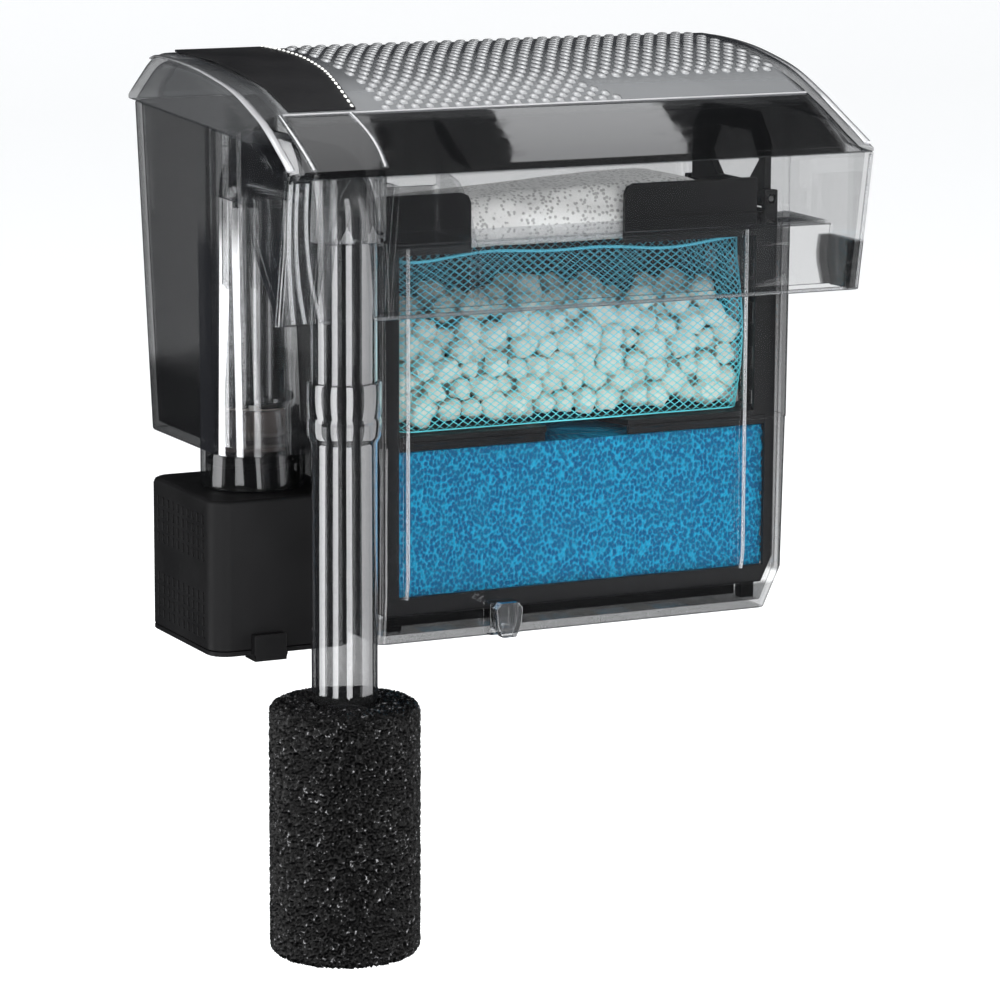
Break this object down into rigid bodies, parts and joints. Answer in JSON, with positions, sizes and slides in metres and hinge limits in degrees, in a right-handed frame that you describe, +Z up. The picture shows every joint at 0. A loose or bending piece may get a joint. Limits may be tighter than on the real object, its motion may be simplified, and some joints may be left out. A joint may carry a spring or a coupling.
{
  "type": "hang-on-back aquarium power filter",
  "caption": "Clear hang-on-back aquarium filter with a lift-off lid, a basket of media, a U-shaped intake with a sponge, and a motor under one end.",
  "frame": {"origin": "on the underside of the spillway floor, where the filter rests on the rim of the tank, midway along the case", "axes": "+X to the right along the front of the case, +Y away from the tank, +Z up"},
  "size_m": [0.247, 0.1695, 0.3359],
  "materials": {
    "clear_plastic": "clear, glossy moulded styrene",
    "black_plastic": "black, fine satin moulded",
    "label_black": "black, soft satin",
    "strainer_grey": "dark grey, moulded",
    "sponge_black": "coarse open-cell black foam",
    "lamination_steel": "stacked laminations",
    "bobbin_nylon": "off-white moulded nylon",
    "coil_copper": "enamelled copper wire",
    "potting_resin": "black epoxy",
    "gland_rubber": "black rubber",
    "seal_rubber": "black rubber",
    "rotor_ferrite": "dark grey ferrite",
    "impeller_white": "off-white moulded",
    "shaft_ceramic": "polished white ceramic",
    "bush_rubber": "black rubber",
    "washer_ptfe": "white low-friction plastic",
    "pin_nylon": "dark nylon",
    "foam_blue": "blue open-cell filter foam",
    "bag_mesh": "teal-blue knotted nylon mesh",
    "ceramic_media": "porous off-white ceramic pieces",
    "pouch_fleece": "white perforated fleece"
  },
  "bodies": {
    "case": {"filter_case": "clear_plastic"},
    "levelling_foot": {"levelling_foot": "clear_plastic"},
    "lid": {"lid": "clear_plastic", "lid_label": "label_black"},
    "basket": {"media_basket": "black_plastic", "handle_pin_front": "pin_nylon", "handle_pin_back": "pin_nylon", "foam_block": "foam_blue", "media_bag": "bag_mesh", "ceramic_media": "ceramic_media", "carbon_pouch": "pouch_fleece"},
    "handle": {"basket_handle": "black_plastic"},
    "intake": {"intake_u_tube": "clear_plastic"},
    "extension": {"intake_extension_tube": "clear_plastic", "intake_strainer": "strainer_grey"},
    "sponge": {"prefilter_sponge": "sponge_black"},
    "motor": {"motor_housing": "black_plastic", "motor_bottom_cover": "black_plastic", "stator_core": "lamination_steel", "coil_bobbin": "bobbin_nylon", "coil_winding": "coil_copper", "potting_resin": "potting_resin", "cord_gland": "gland_rubber", "well_seal_ring": "seal_rubber", "rotor_shaft": "shaft_ceramic", "lower_bush": "bush_rubber", "thrust_washer": "washer_ptfe"},
    "rotor": {"rotor_magnet": "rotor_ferrite", "impeller": "impeller_white"}
  },
  "joints": [
    {"name": "lid_lift", "type": "slide", "parent": "case", "child": "lid", "axis": [0, 0, 1], "range_m": [0, 0.26]},
    {"name": "basket_lift", "type": "slide", "parent": "case", "child": "basket", "axis": [0, 0, 1], "range_m": [0, 0.195]},
    {"name": "handle_hinge", "type": "hinge", "parent": "basket", "child": "handle", "pos_m": [0.1144, 0.052, 0.007], "axis": [0, -1, 0], "range_deg": [0, 40]},
    {"name": "flow_control", "type": "hinge", "parent": "case", "child": "intake", "pos_m": [-0.0935, -0.028, 0], "axis": [0, 0, 1], "range_deg": [0, 6]},
    {"name": "extension_pull", "type": "slide", "parent": "intake", "child": "extension", "axis": [0, 0, -1], "range_m": [0, 0.03]},
    {"name": "sponge_pull", "type": "slide", "parent": "extension", "child": "sponge", "axis": [0, 0, -1], "range_m": [0, 0.08]},
    {"name": "motor_twist", "type": "hinge", "parent": "case", "child": "motor", "pos_m": [-0.0935, 0.06, -0.1], "axis": [0, 0, 1], "range_deg": [0, 7]},
    {"name": "impeller_spin", "type": "hinge", "parent": "motor", "child": "rotor", "pos_m": [-0.0935, 0.06, -0.1], "axis": [0, 0, 1], "continuous": true},
    {"name": "foot_slide", "type": "slide", "parent": "case", "child": "levelling_foot", "axis": [0, -1, 0], "range_m": [0, 0.004]}
  ],
  "couplings": [
    {"joint": "basket_lift", "follows": "lid_lift", "ratio": 0.75}
  ]
}
